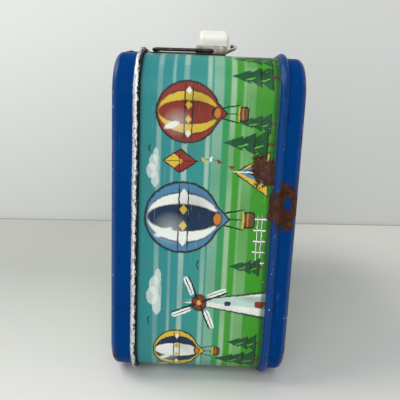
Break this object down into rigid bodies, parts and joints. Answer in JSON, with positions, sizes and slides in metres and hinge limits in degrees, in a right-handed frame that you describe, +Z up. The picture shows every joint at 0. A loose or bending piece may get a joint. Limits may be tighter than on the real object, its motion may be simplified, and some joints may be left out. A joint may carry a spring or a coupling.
{
  "type": "metal lunch box",
  "caption": "Rectangular pressed-steel lunch box standing on its base, with a front lid hinged along the bottom, wire draw latches, a swinging plastic handle and an inner bottle clip.",
  "frame": {"origin": "middle of the base, on the surface that the box stands on", "axes": "+Z up, +X along the box's width, -Y towards the lid and +Y towards the back"},
  "size_m": [0.2226, 0.0968, 0.1998],
  "materials": {
    "printed_tinplate": "printed tinplate, gloss varnish, worn",
    "blue_enamel": "gloss enamel, chipped at the rims",
    "plated_steel": "dull nickel plate",
    "steel_wire": "plated wire",
    "handle_plastic": "moulded, slightly yellowed"
  },
  "bodies": {
    "case": {"body_band": "printed_tinplate", "back_pan": "blue_enamel", "hinge_leaf_left": "plated_steel", "hinge_leaf_right": "plated_steel", "hinge_pin": "steel_wire", "hinge_rivets": "plated_steel", "handle_ear_left": "plated_steel", "handle_ear_right": "plated_steel", "handle_pin_left": "plated_steel", "handle_pin_right": "plated_steel", "ear_rivets": "plated_steel", "latch_base_left": "plated_steel", "latch_base_right": "plated_steel", "lever_pin_left": "plated_steel", "lever_pin_right": "plated_steel", "latch_rivets": "plated_steel", "clip_bracket_upper": "plated_steel", "clip_bracket_lower": "plated_steel", "clip_stop": "plated_steel"},
    "lid": {"lid_pan": "blue_enamel", "lid_catch_left": "plated_steel", "lid_catch_right": "plated_steel", "catch_rivets": "plated_steel"},
    "handle": {"handle_grip": "handle_plastic"},
    "lever_left": {"latch_lever_left": "plated_steel"},
    "lever_right": {"latch_lever_right": "plated_steel"},
    "bail_left": {"latch_bail_left": "steel_wire"},
    "bail_right": {"latch_bail_right": "steel_wire"},
    "clip": {"bottle_clip": "steel_wire"}
  },
  "joints": [
    {"name": "lid_hinge", "type": "hinge", "parent": "case", "child": "lid", "pos_m": [0, -0.035, 0.00138], "axis": [1, 0, 0], "range_deg": [0, 175]},
    {"name": "handle_swing", "type": "hinge", "parent": "case", "child": "handle", "pos_m": [0, 0.0024, 0.18518], "axis": [1, 0, 0], "range_deg": [-80, 80]},
    {"name": "lever_left_hinge", "type": "hinge", "parent": "case", "child": "lever_left", "pos_m": [-0.078, -0.006, 0.17908], "axis": [1, 0, 0], "range_deg": [0, 130]},
    {"name": "bail_left_hinge", "type": "hinge", "parent": "lever_left", "child": "bail_left", "pos_m": [-0.078, 0.0008, 0.17858], "axis": [1, 0, 0], "range_deg": [-131, 1]},
    {"name": "lever_right_hinge", "type": "hinge", "parent": "case", "child": "lever_right", "pos_m": [0.078, -0.006, 0.17908], "axis": [1, 0, 0], "range_deg": [0, 130]},
    {"name": "bail_right_hinge", "type": "hinge", "parent": "lever_right", "child": "bail_right", "pos_m": [0.078, 0.0008, 0.17858], "axis": [1, 0, 0], "range_deg": [-131, 1]},
    {"name": "clip_swing", "type": "hinge", "parent": "case", "child": "clip", "pos_m": [0.02, -0.027, 0.08918], "axis": [0, 0, 1], "range_deg": [0, 65]}
  ],
  "couplings": [
    {"joint": "bail_left_hinge", "follows": "lever_left_hinge", "ratio": -1},
    {"joint": "bail_right_hinge", "follows": "lever_right_hinge", "ratio": -1}
  ]
}
